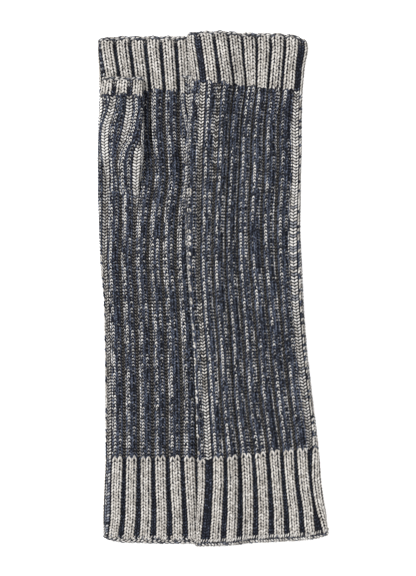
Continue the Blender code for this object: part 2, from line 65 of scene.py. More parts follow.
# The stitches
ROW = 2.1  # one row of knitting along the tube
RELIEF = 2.2  # from a rib's crest down to the gutter beside it
THUMB_RELIEF = 1.2
STITCH_RISE = 0.6  # how far the yarn stands above the cloth under it
SHELL_STEP = 3.0  # between the rings of that cloth
LONG_TUBE = 60  # rows from which a tube's stitches are two pieces, front and back
ROW_WANDER = 18.0  # the length on which a line of stitches wanders up and down

# One row for each section of a warmer, from the fingers down. y: its height at its middle. rise:
# how much higher its right side is. left, right: the two folds. ribs: share of the way round that
# is rib and not gutter. turn: way round from the left fold to the middle of gutter 0. front: width
# of the upper side's gutters, as times a plain one's. in_left, in_right: how far corners turn in
Section = namedtuple(
    "Section", "y rise left right ribs turn front in_left in_right", defaults=(1.0, 0.0, 0.0)
)

LEFT_SECTIONS = (
    Section(168.8, 0.0, -77.6, 7.0, 0.88, 2.4, 1.0, 1.8, 1.8),
    Section(164.5, 0.0, -77.9, 7.3, 0.79, 2.3, 1.0, 0.8, 0.8),
    Section(161.5, 0.0, -78.2, 7.5, 0.77, 2.5, 1.0, 0.4, 0.4),
    Section(148.5, 0.0, -77.4, 6.2, 0.77, 3.9),
    Section(131.8, 0.0, -76.4, 4.0, 0.77, 5.9),
    Section(112.0, 0.0, -77.2, 2.9, 0.73, 6.6),
    Section(85.5, 0.0, -77.8, 2.6, 0.73, 7.3),
    Section(65.0, 0.0, -77.6, 2.7, 0.73, 7.3),
    Section(45.0, 0.0, -77.0, 3.2, 0.73, 6.7),
    Section(18.0, 0.0, -76.2, 4.4, 0.73, 5.0),
    Section(-8.5, 0.0, -74.0, 6.2, 0.73, 4.4),
    Section(-42.0, 0.0, -73.2, 7.5, 0.73, 5.0),
    Section(-75.5, 0.0, -72.8, 8.2, 0.73, 5.5),
    Section(-113.6, 0.0, -72.8, 9.0, 0.72, 4.8, 0.90),
    Section(-135.5, 0.0, -73.7, 11.0, 0.69, 4.1, 0.91),
    Section(-155.0, 0.0, -74.4, 12.6, 0.65, 3.5, 0.96, 0.6, 0.6),
    Section(-171.7, -1.2, -74.4, 13.0, 0.63, 1.3, 1.25, 3.6, 3.2),
)

RIGHT_SECTIONS = (
    Section(171.2, -1.6, -17.4, 63.6, 0.88, 9.2, 1.0, 2.4, 4.6),
    Section(167.5, -2.3, -17.6, 64.2, 0.78, 9.4, 1.0, 1.0, 3.0),
    Section(162.0, -2.8, -17.6, 64.6, 0.76, 9.6, 1.0, 0.2, 1.2),
    Section(150.0, -4.4, -16.4, 62.2, 0.76, 9.9),
    Section(134.4, -6.0, -14.9, 60.6, 0.76, 10.2),
    Section(111.0, -4.7, -16.9, 60.2, 0.73, 11.2),
    Section(92.0, -3.4, -18.6, 60.2, 0.73, 12.0),
    Section(72.0, -2.0, -19.2, 59.6, 0.73, 12.3),
    Section(38.5, 0.0, -19.2, 59.2, 0.73, 11.6),
    Section(12.0, 1.3, -17.9, 60.5, 0.73, 9.8),
    Section(-15.0, 2.7, -15.6, 61.6, 0.73, 9.0),
    Section(-42.0, 4.0, -13.2, 63.6, 0.73, 8.9),
    Section(-75.5, 5.4, -11.9, 67.3, 0.73, 9.5),
    Section(-110.6, 7.4, -10.9, 71.6, 0.72, 10.1, 1.05),
    Section(-130.0, 7.0, -10.6, 74.0, 0.69, 9.7, 1.12),
    Section(-152.0, 6.6, -11.2, 76.6, 0.66, 9.0, 1.3, 0.0, 1.0),
    Section(-171.0, 4.4, -11.9, 78.2, 0.64, 8.2, 1.48, 0.6, 3.0),
)

# Gutters that stand open, by number, as times the width of a plain one
LEFT_OPEN = {0: 1.9}
RIGHT_OPEN = {0: 2.8, 7: 2.7, **{k: 1.4 for k in range(9, 16)}}

# A thumb from its tip down. near, far: heights of its wall against the hand and of its other wall.
# out: how far that other wall stands off the hand
FULL_OUT = SEAM_GAP + THUMB_LAYERS
ThumbRing = namedtuple("ThumbRing", "near far left right out", defaults=(FULL_OUT,))
LEFT_THUMB = (
    ThumbRing(141.0, 141.0, -74.2, -45.6),
    ThumbRing(128.4, 128.4, -76.4, -45.4),
    ThumbRing(115.6, 115.2, -77.2, -45.8),
    ThumbRing(104.2, 101.6, -77.2, -46.0),
    ThumbRing(96.8, 91.0, -76.2, -46.0, 4.3),
    ThumbRing(92.0, 82.0, -74.6, -46.6, 3.7),
    ThumbRing(89.4, 74.0, -73.0, -47.4, 2.4),
    ThumbRing(87.6, 66.0, -72.4, -48.0, 0.1),
    ThumbRing(86.6, 62.0, -71.6, -48.6, -0.9),
)
RIGHT_THUMB = (
    ThumbRing(139.2, 139.2, -21.9, 6.8),
    ThumbRing(126.7, 126.7, -21.6, 7.6),
    ThumbRing(118.6, 118.2, -20.9, 8.2),
    ThumbRing(107.2, 104.6, -18.4, 9.4),
    ThumbRing(96.8, 91.0, -15.4, 9.8, 4.3),
    ThumbRing(92.0, 82.0, -14.0, 9.6, 3.7),
    ThumbRing(89.4, 74.0, -13.2, 9.4, 2.4),
    ThumbRing(87.6, 66.0, -12.8, 9.2, 0.1),
)

# A thumb's gutters from its root to its tip: at each height, (way to the middle, half width) of the
# first gutters, which show. The others have the half width THUMB_REST, and ribs share what is left
THUMB_REST = 1.3
LEFT_THUMB_GUTTERS = (
    (66.0, (-7.0, 1.4), (2.0, 2.4), (10.8, 0.5), (21.9, 2.7)),
    (74.0, (-6.0, 1.4), (3.0, 2.7), (10.6, 0.6), (23.0, 3.1)),
    (82.0, (-5.0, 1.6), (4.3, 2.8), (11.4, 1.0), (24.8, 3.2)),
    (91.0, (-3.5, 2.0), (5.3, 3.0), (14.2, 1.5), (27.2, 3.0)),
    (95.0, (-3.2, 2.0), (5.5, 3.0), (16.0, 1.9), (28.8, 2.2)),
    (98.8, (-3.2, 2.2), (5.8, 3.0), (18.4, 2.4), (29.8, 0.6)),
    (108.0, (-1.6, 4.2), (6.7, 2.9), (20.9, 2.8), (31.5, 0.5)),
    (118.0, (1.0, 4.3), (10.0, 2.8), (22.4, 2.8), (33.0, 0.5)),
    (127.0, (1.0, 3.4), (11.4, 2.5), (22.0, 2.4), (32.6, 0.5)),
    (128.6, (-0.5, 1.6), (10.9, 1.5), (21.8, 1.9), (32.4, 1.9)),
    (141.0, (-0.5, 1.4), (10.0, 1.4), (20.6, 1.8), (31.0, 1.8)),
)
RIGHT_THUMB_GUTTERS = (
    (66.0, (-6.0, 1.4), (4.0, 1.4), (13.0, 1.4)),
    (107.0, (-5.6, 1.6), (4.6, 1.8), (14.6, 1.6)),
    (125.0, (-5.9, 1.9), (4.8, 1.8), (15.0, 1.6)),
    (139.2, (-5.9, 1.8), (4.6, 1.6), (15.1, 1.6)),
)

# Where the right warmer rises over its own thumb: the heights where it starts to and where it has,
# on the hand's side and on the arm's, and where and how slowly it comes down on the right
THUMB_UNDER_HAND = (162.0, 150.0)
THUMB_UNDER_ARM = (48.0, 88.0)
THUMB_UNDER_RIGHT = 10.8
THUMB_UNDER_RUN = 16.0

Swell = namedtuple("Swell", "x y half_width half_length height")
LEFT_SWELLS = (
    Swell(-57.0, 30.0, 12.0, 55.0, 0.8),
    Swell(-38.0, -55.0, 11.0, 60.0, 0.7),
    Swell(-36.0, 130.0, 9.0, 50.0, 0.6),
)
LEFT_VALLEYS = (Swell(-43.5, 100.0, 5.5, 42.0, -3.0),)  # the cloth sunk beside the thumb
RIGHT_SWELLS = (
    Swell(12.0, 60.0, 11.0, 70.0, 0.8),
    Swell(40.0, 110.0, 12.0, 60.0, 0.7),
    Swell(34.0, -40.0, 14.0, 80.0, 0.9),
)

# A gutter that is stretched wider for part of its way, or drawn narrower where more is below 0, as
# a share of a plain gutter's width
Stretch = namedtuple("Stretch", "gutter y half_length more")
LEFT_STRETCHES = (Stretch(2, 76.0, 21.0, 1.8), Stretch(2, 20.0, 60.0, 0.2))
RIGHT_STRETCHES = (
    Stretch(0, 20.0, 75.0, -1.2),
    Stretch(0, -142.0, 34.0, -0.75),
    Stretch(1, 105.0, 45.0, 1.0),
    Stretch(7, -136.0, 32.0, -1.95),
    Stretch(7, -150.0, 10.0, -0.4),
)

# Where the ribs lie further round from the left fold than even ones would, or nearer it where the
# amount is below 0. way is round the tube from that fold
Drift = namedtuple("Drift", "way y half_width half_length amount")
LEFT_DRIFTS = (
    Drift(60.0, 40.0, 35.0, 60.0, -2.6),
    Drift(40.0, -70.0, 45.0, 60.0, -1.8),
    Drift(3.0, -170.0, 9.0, 28.0, 1.2),
    Drift(48.0, -165.0, 20.0, 30.0, 0.8),
)
RIGHT_DRIFTS = (
    Drift(59.0, 108.0, 26.8, 27.0, -3.4),
    Drift(59.0, 55.0, 26.8, 50.0, -4.6),
    Drift(37.0, -75.0, 23.0, 33.0, -1.9),
    Drift(80.0, -135.0, 20.0, 25.0, -2.5),
    Drift(84.0, -162.0, 8.0, 15.0, -1.0),
    Drift(77.0, 50.0, 10.0, 90.0, 0.8),
    Drift(34.0, 137.0, 14.0, 12.0, 1.4),
    Drift(53.0, 137.0, 8.0, 12.0, -0.8),
    Drift(20.0, 171.0, 25.0, 9.0, -0.7),
    Drift(83.0, 171.0, 15.0, 9.0, 0.8),
)

# Where the ecru yarn covers the navy one, in this share of the rows, or the navy one the ecru where
# the share is below 0. column is 0 or 1 for a rib's left or right knit column, 2 for the gutter
# right of it, and 3 for the pale line down its side
Pale = namedtuple("Pale", "rib column top bottom share")
LEFT_PALE = (
    Pale(1, 2, 96.0, 50.0, -0.3),
    Pale(16, 1, 30.0, -114.0, 0.55),
    Pale(16, 2, 170.0, 140.0, 0.5),
    Pale(16, 2, -115.0, -172.0, 0.8),
)
RIGHT_PALE = (
    Pale(6, 2, 135.0, 60.0, 0.4),
    Pale(6, 2, 62.0, -10.0, -0.3),
    Pale(6, 2, -10.0, -111.0, -0.15),
    Pale(2, 3, 135.0, 50.0, 1.0),
    Pale(3, 3, 135.0, 20.0, 0.9),
    Pale(4, 3, 135.0, 50.0, 0.9),
    Pale(7, 0, 135.0, -111.0, 0.6),
    Pale(7, 1, 135.0, -111.0, 0.5),
    Pale(15, 2, 80.0, 57.0, 0.8),
    Pale(16, 0, 66.0, -111.0, 0.3),
    Pale(16, 2, 135.0, 92.0, 0.95),
    Pale(16, 2, -10.0, -111.0, 0.55),
    Pale(0, 2, 135.0, 70.0, 0.35),
)
LEFT_THUMB_PALE = (Pale(5, 1, 129.0, 90.0, 0.7), Pale(5, 2, 129.0, 92.0, 0.9))
RIGHT_THUMB_PALE = (Pale(0, 1, 130.0, 96.0, 0.95), Pale(5, 2, 130.0, 110.0, 1.0))

# A bound edge's lines of links: links for each rib, height out from the tube's end, how far a link
# rises outwards and runs along the edge, half width, depth, and the share of links that are ecru
Lane = namedtuple("Lane", "links height rise run half_width depth ecru")
HAND_LANES = (
    Lane(3, -1.5, -0.6, 3.2, 0.42, 0.1, 0.45),
    Lane(3, -0.55, 0.5, 3.0, 0.50, -0.15, 0.8),
    Lane(3, 0.15, 0.35, 3.8, 0.44, 0.3, 0.55),
    Lane(3, 0.2, -0.4, 3.6, 0.46, 1.5, 0.5),
)
LEFT_ARM_LANES = (
    Lane(4, -3.9, -1.9, 1.4, 0.42, 0.0, 0.8),
    Lane(4, -2.6, 1.5, 1.9, 0.46, -0.1, 0.5),
    Lane(4, -1.4, -1.1, 2.2, 0.48, -0.2, 0.75),
    Lane(3, -0.4, 0.5, 3.0, 0.44, -0.1, 0.6),
    Lane(3, 0.2, 0.3, 3.4, 0.42, 0.5, 0.55),
    Lane(3, 0.2, -0.4, 3.4, 0.46, 1.7, 0.4),
)
RIGHT_ARM_LANES = (
    Lane(7, -3.5, -2.5, 1.0, 0.42, -0.3, 0.95),
    Lane(5, -2.1, -0.5, 1.9, 0.30, -0.15, 0.05),
    Lane(6, -0.8, 1.3, 1.9, 0.50, -0.3, 0.95),
    Lane(6, 0.25, 0.6, 2.2, 0.46, 0.3, 0.9),
    Lane(3, 0.2, -0.4, 3.4, 0.46, 1.7, 0.4),
)

# Near a hand end each rib's top is a dome: how far the gutters lag, and over what length
DOME = 1.1
DOME_RUN = 6.0
# There the gutters' bars are marled too: over a knit's cap, then less and less over this run
CAP_RUN = 4.2
# Near every end the relief fades into the bound edge
FADE_RUN = 5.0
FADE = 0.65
OPEN_SHALLOWER = 0.45  # how much shallower a gutter drawn flat is

# The heights where a warmer's cuffs begin and end
Joins = namedtuple("Joins", "hand_end hand_cuff arm_cuff arm_end")

# line_side: the side of a rib that its pale line runs down, -1 for the left. ground(x, y): height
# of what lies under it. flecks: how much more ecru than usual its navy ribs show
Warmer = namedtuple(
    "Warmer",
    "name sections opened stretches drifts pale line_side joins swells valleys ground palm_up"
    " thumb thumb_gutters thumb_pale arm_lanes flecks seed",
)


def smooth_step(value):
    value = np.clip(value, 0.0, 1.0)
    return value * value * (3 - 2 * value)


def rising(value, start, end):
    return smooth_step((value - start) / (end - start))


def section_at(table, y):
    """The section of a table at heights y: an array for each column."""
    heights = [-row.y for row in table]
    columns = [np.interp(-y, heights, column) for column in zip(*table)]
    return Section(*columns)._replace(y=y)


def flat_on_table(x, y):
    return np.zeros_like(x)


def over_left_warmer(x, y):
    """Height of what lies under the right warmer: the left one, the table, and its own thumb."""
    far_side = section_at(LEFT_SECTIONS, y).right
    on_left = 1 - smooth_step((x - far_side) / DRAPE_RUN)
    on_thumb = rising(y, *THUMB_UNDER_HAND) * rising(y, *THUMB_UNDER_ARM)
    on_thumb = on_thumb * (1 - smooth_step((x - THUMB_UNDER_RIGHT) / THUMB_UNDER_RUN))
    return on_left * (LAYERS + SEAM_GAP) + on_thumb * FULL_OUT


LEFT = Warmer(
    name="left",
    sections=LEFT_SECTIONS,
    opened=LEFT_OPEN,
    stretches=LEFT_STRETCHES,
    drifts=LEFT_DRIFTS,
    pale=LEFT_PALE,
    line_side=-1,
    joins=Joins(168.8, 131.8, -114.8, -171.7),
    swells=LEFT_SWELLS,
    valleys=LEFT_VALLEYS,
    ground=flat_on_table,
    palm_up=True,
    thumb=LEFT_THUMB,
    thumb_gutters=LEFT_THUMB_GUTTERS,
    thumb_pale=LEFT_THUMB_PALE,
    arm_lanes=LEFT_ARM_LANES,
    flecks=0.12,
    seed=10,
)
RIGHT = Warmer(
    name="right",
    sections=RIGHT_SECTIONS,
    opened=RIGHT_OPEN,
    stretches=RIGHT_STRETCHES,
    drifts=RIGHT_DRIFTS,
    pale=RIGHT_PALE,
    line_side=1,
    joins=Joins(171.2, 134.4, -112.4, -171.0),
    swells=RIGHT_SWELLS,
    valleys=(),
    ground=over_left_warmer,
    palm_up=False,
    thumb=RIGHT_THUMB,
    thumb_gutters=RIGHT_THUMB_GUTTERS,
    thumb_pale=RIGHT_THUMB_PALE,
    arm_lanes=RIGHT_ARM_LANES,
    flecks=0.04,
    seed=20,
)


def swelling(swells, x, y):
    total = np.zeros_like(x)
    for swell in swells:
        across = (x - swell.x) / swell.half_width
        along = (y - swell.y) / swell.half_length
        total += swell.height * np.exp(-across * across - along * along)
    return total


def on_flat_tube(width, layers, way):
    """Places on a flattened tube's section: x from the left fold, height off its middle, normal."""
    radius = layers / 2
    quarter = math.pi * radius / 2
    half = width - layers + math.pi * radius
    way = np.mod(way, 2 * half)
    under = way > half
    along = np.where(under, 2 * half - way, way)
    back = half - along
    at_left = along < quarter
    at_right = back < quarter
    angle = np.where(at_left, along, np.where(at_right, back, quarter)) / radius
    inset = radius * (1 - np.cos(angle))
    on_face = np.where(at_right, width - inset, radius + along - quarter)
    across = np.where(at_left, inset, on_face)
    normal_x = np.where(at_left, -np.cos(angle), np.where(at_right, np.cos(angle), 0.0))
    normal_z = np.where(under, -1.0, 1.0) * np.sin(angle)
    return across, radius * normal_z, normal_x, normal_z


def bent_height(section, x):
    middle = (section.left + section.right) / 2
    share = np.clip((x - middle) / ((section.right - section.left) / 2), -1.0, 1.0)
    inward = np.where(section.y > 0, -1, 1)
    corner = np.where(share < 0, section.in_left, section.in_right)
    return section.y + section.rise * share / 2 + inward * corner * np.abs(share) ** CORNER_POWER


# A rib's cross-section: the share of its relief that its rounded face takes, the depth and half
# width of the dip between its two knit columns, and the most that a gutter's side may be wide
FACE_SHARE = 0.4
DIP = 0.22
DIP_HALF_WIDTH = 0.55
WIDEST_SIDE = 1.5


def rib_profile(relief, from_rib, half_rib, half_gutter):
    """Depth below the crest, this far from a rib's middle: a rounded rib, a groove beside it."""
    edge = FACE_SHARE * relief
    face = edge * np.clip(from_rib / half_rib, 0, 1) ** 3
    dip = DIP * np.exp(-((from_rib / DIP_HALF_WIDTH) ** 2))
    down = smooth_step((from_rib - half_rib) / np.minimum(half_gutter, WIDEST_SIDE))
    return face + dip + (relief - edge) * down


def drifted(drifts, way, y, total):
    """The way round to a place once the ribs have drifted."""
    moved = way
    for drift in drifts:
        across = (np.mod(way - drift.way + total / 2, total) - total / 2) / drift.half_width
        along = (y - drift.y) / drift.half_length
        moved = moved + drift.amount * np.exp(-across * across - along * along)
    return moved


def picked(table, number):
    return np.take_along_axis(table, number[..., None], -1)[..., 0]


def rib_place(last_end, start, end, next_start):
    """Way round to a rib's middle, its half width, and half widths of the gutters beside it."""
    return (start + end) / 2, (end - start) / 2, (start - last_end) / 2, (next_start - end) / 2


class Body:
    """The knit of a warmer's main tube."""

    relief = RELIEF
    cap = 2.4  # how far from the hand end the gutters' bars are fully marled

    def __init__(self, warmer):
        self.warmer = warmer
        self.count = RIBS
        self.pale = warmer.pale
        self.hand_end = warmer.joins.hand_end
        self.arm_end = warmer.joins.arm_end
        self.opened = np.array([warmer.opened.get(n, 1.0) for n in range(RIBS)])
        in_front = [n <= RIBS // 2 and n not in warmer.opened for n in range(RIBS)]
        self.in_front = np.array(in_front, float)

    def round(self, y):
        """Length round the tube at heights y."""
        section = section_at(self.warmer.sections, y)
        return 2 * (section.right - section.left - LAYERS) + math.pi * LAYERS

    def layout(self, rib, y):
        section = section_at(self.warmer.sections, y)
        total = self.round(y)
        width = section.ribs * total / RIBS
        weights = self.opened + (section.front - 1)[..., None] * self.in_front
        for stretch in self.warmer.stretches:
            more = stretch.more * np.exp(-(((y - stretch.y) / stretch.half_length) ** 2))
            weights[..., stretch.gutter] += more
        gutters = weights * ((total - RIBS * width) / weights.sum(-1))[..., None]
        before = gutters[..., :1] / 2 + np.cumsum(gutters, -1) - gutters[..., :1]
        number = np.zeros(width.shape, int) + rib
        start = section.turn + number * width + picked(before, number)
        left, right = picked(gutters, number), picked(gutters, (number + 1) % RIBS)
        sides = (start - left, start, start + width, start + width + right)
        return rib_place(*(drifted(self.warmer.drifts, way, y, total) for way in sides))

    def point(self, way, y, depth):
        section = section_at(self.warmer.sections, y)
        across, up, normal_x, normal_z = on_flat_tube(section.right - section.left, LAYERS, way)
        x = section.left + across - depth * normal_x
        bent = bent_height(section, x)
        lift = swelling(self.warmer.swells, x, bent) + swelling(self.warmer.valleys, x, bent)
        lift = np.maximum(normal_z, 0.0) * lift
        z = self.warmer.ground(x, bent) + LAYERS / 2 + up - depth * normal_z + lift
        return np.stack([x, bent, z], -1)


class Thumb:
    """The knit of a thumb tube. Its y is the height of its far wall."""

    relief = THUMB_RELIEF
    cap = 4.0

    def __init__(self, warmer):
        self.warmer = warmer
        self.count = THUMB_RIBS
        self.pale = warmer.thumb_pale
        self.hand_end = warmer.thumb[0].far
        self.arm_end = -math.inf

    def ring(self, y):
        heights = [-row.far for row in self.warmer.thumb]
        return ThumbRing(*(np.interp(-y, heights, column) for column in zip(*self.warmer.thumb)))

    def round(self, y):
        """Length round the tube at heights y."""
        ring = self.ring(y)
        return 2 * (ring.right - ring.left - THUMB_LAYERS) + math.pi * THUMB_LAYERS

    def layout(self, rib, y):
        total = self.round(y)
        heights, *shown = zip(*self.warmer.thumb_gutters)
        starts, ends = [], []
        for gutter in shown:
            middle, half = (np.interp(y, heights, column) for column in zip(*gutter))
            starts.append(middle - half)
            ends.append(middle + half)
        spare = THUMB_RIBS - len(shown)
        free = starts[0] + total - ends[-1]
        width = (free - 2 * THUMB_REST * spare) / (spare + 1)
        for _ in range(spare):
            starts.append(ends[-1] + width)
            ends.append(starts[-1] + 2 * THUMB_REST)
        starts.append(starts[0] + total)
        ends.append(ends[0] + total)
        starts, ends = np.stack(starts, -1), np.stack(ends, -1)
        number = np.zeros(y.shape, int) + rib
        last_end, start = picked(starts, number), picked(ends, number)
        end, next_start = picked(starts, number + 1), picked(ends, number + 1)
        return rib_place(last_end, start, end, next_start)

    def point(self, way, y, depth):
        ring = self.ring(y)
        across, up, normal_x, normal_z = on_flat_tube(ring.right - ring.left, THUMB_LAYERS, way)
        outward = (1 + up / (THUMB_LAYERS / 2)) / 2
        x = ring.left + across - depth * normal_x
        height = ring.near + (ring.far - ring.near) * outward
        section = section_at(self.warmer.sections, height)
        section = section._replace(in_left=np.zeros_like(x), in_right=np.zeros_like(x))
        bent = bent_height(section, x)
        out = SEAM_GAP + (ring.out - SEAM_GAP) * outward - depth * normal_z
        ground = self.warmer.ground(x, bent)
        if self.warmer.palm_up:
            z = ground + LAYERS + swelling(self.warmer.swells, x, bent) + out
        else:
            z = ground - out
        return np.stack([x, bent, z], -1)


CLOSED = 1.4  # half width up to which a gutter is closed
OPENING = 1.6  # how much wider a half draws it flat


def openness(half_gutter):
    """How far a gutter stands open: 0 for a closed one, 1 for one drawn flat."""
    return np.clip((half_gutter - CLOSED) / OPENING, 0, 1)


def rib_point(knit, rib, across, y, rise):
    """A place this far from a rib's middle and this far above the cloth there."""
    middle, half_rib, left, right = knit.layout(rib, y)
    half_gutter = np.where(across < 0, left, right)
    to_end = np.minimum(knit.hand_end - y, y - knit.arm_end)
    relief = knit.relief * (1 - FADE * smooth_step(1 - to_end / FADE_RUN))
    relief = relief * (1 - OPEN_SHALLOWER * openness(half_gutter))
    depth = STITCH_RISE + rib_profile(relief, np.abs(across), half_rib, half_gutter) - rise
    from_middle = np.clip(np.abs(across) / (half_rib + half_gutter), 0, 1)
    lag = DOME * smooth_step(1 - (knit.hand_end - y) / DOME_RUN) * from_middle**2
    return knit.point(middle + across, y - lag, depth)


# A yarn's visible leg is a leaf: rows of three points between two tips
LEG_ROWS = np.array([0.0, 0.2, 0.5, 0.8, 1.0])
SHORT_ROWS = np.array([0.0, 0.3, 0.7, 1.0])


def leaf_faces(rows):
    """Faces of one leaf with this many rows, its two tips among them."""
    faces = [(0, 1, 2), (0, 2, 3)]
    for row in range(rows - 3):
        a = 1 + 3 * row
        faces += [(a, a + 3, a + 4, a + 1), (a + 1, a + 4, a + 5, a + 2)]
    last = 1 + 3 * (rows - 3)
    tip = last + 3
    faces += [(last, tip, last + 1), (last + 1, tip, last + 2)]
    return faces


def leaf_places(rows):
    """Along and across of a leaf's points."""
    along, across = [0.0], [0.0]
    for t in rows[1:-1]:
        along += [t] * 3
        across += [-1.0, 0.0, 1.0]
    return np.array(along + [1.0]), np.array(across + [0.0])


class Yarns:
    """Collects leaves, with the colour facts that their material reads."""

    def __init__(self):
        self.points, self.facts, self.faces, self.count = [], [], [], 0

    def add(self, points, rows, ecru, tone, along, across):
        """points: (leaves, points, 3). ecru and tone: one value, or one for each leaf."""
        number, each = points.shape[:2]
        facts = np.empty((number, each, 4))
        facts[..., 0] = np.reshape(ecru, (-1, 1))
        facts[..., 1] = np.reshape(tone, (-1, 1))
        facts[..., 2] = across * 0.5 + 0.5
        facts[..., 3] = along
        self.points.append(points.reshape(-1, 3))
        self.facts.append(facts.reshape(-1, 4))
        starts = self.count + np.arange(number) * each
        for face in leaf_faces(rows):
            self.faces.append((starts[:, None] + np.array(face), len(face)))
        self.count += number * each

    def piece(self, name, material):
        points = np.concatenate(self.points)
        facts = np.concatenate(self.facts)
        mesh = mesh_from(name, points, [f for f, _ in self.faces])
        yarn = mesh.attributes.new("yarn", "FLOAT_COLOR", "POINT")
        yarn.data.foreach_set("color", facts.astype(np.float32).ravel())
        return finish_piece(name, mesh, material)


def mesh_from(name, points, face_groups):
    """A mesh in metres from points in millimetres and arrays of faces, each of one size."""
    places = (points + CENTRE) * MM
    mesh = bpy.data.meshes.new(name)
    mesh.vertices.add(len(places))
    mesh.vertices.foreach_set("co", places.astype(np.float32).ravel())
    corners = np.concatenate([np.asarray(group).ravel() for group in face_groups])
    sizes = np.concatenate([np.full(len(group), np.shape(group)[1]) for group in face_groups])
    starts = np.concatenate([[0], np.cumsum(sizes)[:-1]])
    mesh.loops.add(len(corners))
    mesh.loops.foreach_set("vertex_index", corners.astype(np.int32))
    mesh.polygons.add(len(sizes))
    mesh.polygons.foreach_set("loop_start", starts.astype(np.int32))
    mesh.update(calc_edges=True)
    mesh.validate()
    mesh.shade_smooth()
    return mesh


def finish_piece(name, mesh, material):
    mesh.materials.append(material)
    piece = bpy.data.objects.new(name, mesh)
    bpy.context.scene.collection.objects.link(piece)
    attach(piece, "root")
    return piece


def jitter(rng, most, count):
    return rng.uniform(-most, most, count)


def wander(rng, y, step):
    """A slow random change along y."""
    bottom, top = y.min() - step, y.max() + step
    knots = np.arange(bottom, top + 2 * step, step)
    values = jitter(rng, 1.0, len(knots))
    place = (y - bottom) / step
    whole = np.floor(place).astype(int)
    part = smooth_step(place - whole)
    return values[whole] * (1 - part) + values[whole + 1] * part


def swaying(rng, heights, share):
    """Rows that wander up and down along the tube, by up to this share of a row."""
    return heights + wander(rng, heights, ROW_WANDER) * share * ROW


def step_count(top, bottom, size):
    return max(int(round((top - bottom) / size)), 1)


def row_heights(top, bottom):
    count = step_count(top, bottom, ROW)
    return top - (np.arange(count) + 0.5) * (top - bottom) / count


SIDE_DROP = 0.6  # how much lower a leaf's two sides lie, as a share of its rise


def leaf_lift(t, across, rise, sunk):
    """Height of a leaf over the cloth: full in its middle, its sides lower, its two ends sunk."""
    arch = np.sin(np.pi * t)
    return rise * arch**0.75 * (1 - SIDE_DROP * np.abs(across)) - sunk * (1 - arch) ** 2


def taper(t):
    """How wide a leaf is along its length."""
    return np.sin(np.pi * t) ** 0.35


SLOPE_STEP = 0.02  # how far to each side of a place on a leaf its direction is measured


def add_leaf(yarns, knit, rib, centre, rows, y, length, width, rise, ecru, tone, sunk, crest=0.5):
    """Leaves that run along a line in the cloth, one for each height y.

    centre(t) is the distance from the rib's middle, from a leaf's lower end to its upper one. crest
    is where on it a leaf stands highest and has the least painted shade; its ends are painted
    darker."""
    along, across = leaf_places(rows)
    t = along[None, :]
    length = np.reshape(length, (-1, 1))
    before, after = np.maximum(t - SLOPE_STEP, 0.0), np.minimum(t + SLOPE_STEP, 1.0)
    ahead = centre(after) - centre(before)
    span = np.where((t > 0) & (t < 1), 2 * SLOPE_STEP, SLOPE_STEP) * length
    size = np.hypot(ahead, span)
    half_width = width[:, None] * across[None, :] * taper(t)
    place_y = y[:, None] + length * (t - 0.5) - half_width * ahead / size
    place_across = centre(t) + half_width * span / size
    seen = np.where(along < crest, 0.5 * along / crest, 1 - 0.5 * (1 - along) / (1 - crest))
    lift = leaf_lift(seen[None, :], across, rise[:, None], sunk)
    points = rib_point(knit, rib, place_across, place_y, lift)
    yarns.add(points, len(rows), ecru, tone, seen, across)


def pale_rows(knit, rng, rib, column, heights):
    """For each row 1 where the ecru yarn covers the navy one, -1 for the other way round, or 0."""
    pale = np.zeros(len(heights))
    for place in knit.pale:
        if (place.rib, place.column) == (rib, column):
            turned = rng.uniform(0, 1, len(heights)) < abs(place.share)
            turned &= (heights < place.top) & (heights > place.bottom)
            pale[turned] = math.copysign(1, place.share)
    return pale


# How the two kinds of rib are knitted. wider: how much wider its stitches are than the rib. slow:
# how far the second yarn's share changes along the rib, quick: from stitch to stitch. slow_tone and
# quick_tone: the same for how light the yarn is. inner: where a leg's upper end lies, as a share of
# its column's half width
Face = namedtuple("Face", "ecru wider slow quick slow_tone quick_tone inner")
ECRU_FACE = Face(1.0, -0.05, 0.35, 0.35, 0.05, 0.2, 0.08)
NAVY_FACE = Face(0.0, 0.15, 0.42, 0.28, 0.12, 0.26, 0.24)
OUTER = 0.86  # where a leg's lower end lies, in the same way
BOW = 0.1  # and how far a leg bows outwards
SPECK_SHARE = 0.5  # of the navy yarn in an ecru stitch
FLECK_SHARES = ((0.5, 0.8), (0.1, 0.36))  # of the ecru yarn in a navy rib's left and right column
FLECK_MIDDLES = (0.86, 1.0)  # how far out the two columns' flecks are, as a share of the legs
FLECK_OUTER = 0.66  # as OUTER for a leg
FLECK_RUN = 0.68  # how far inwards a fleck runs

LEG_HALF_WIDTH = 0.68
LEG_RISE = 0.66
LEG_LENGTH = 1.5  # in rows, as the next two
POINTED_LENGTH = 2.3  # of one that reaches up into the next piece
POINTED_REACH = 0.42  # how much higher that one's middle lies


def navy_specks(rng, show):
    """Specks of the navy yarn between the legs of an ecru rib's stitches."""
    seen = (show > 0.5) * show
    return {
        "length": 0.8 * ROW,
        "width": 0.14 + 0.42 * seen,
        "rise": 0.05 + 0.62 * seen,
        "ecru": 0.0,
        "tone": np.clip(0.1 + jitter(rng, 0.25, len(show)), 0, 1),
    }


def ecru_flecks(rng, show):
    """Flecks of the ecru yarn between the legs of a navy rib's stitches."""
    count = len(show)
    seen = show * (rng.uniform(0, 1, count) < 0.88) + jitter(rng, 0.15, count)
    seen = np.clip(seen, 0.0, 1.0)
    return {
        "length": 1.25 * ROW,
        "width": 0.1 + 0.25 * seen,
        "rise": 0.2 + 0.6 * seen,
        "ecru": np.where(seen > 0.1, 0.35 + 0.6 * seen, 0.0),
        "tone": np.clip(0.5 + 0.6 * show + jitter(rng, 0.25, count), 0, 1),
        "crest": 0.74,
    }


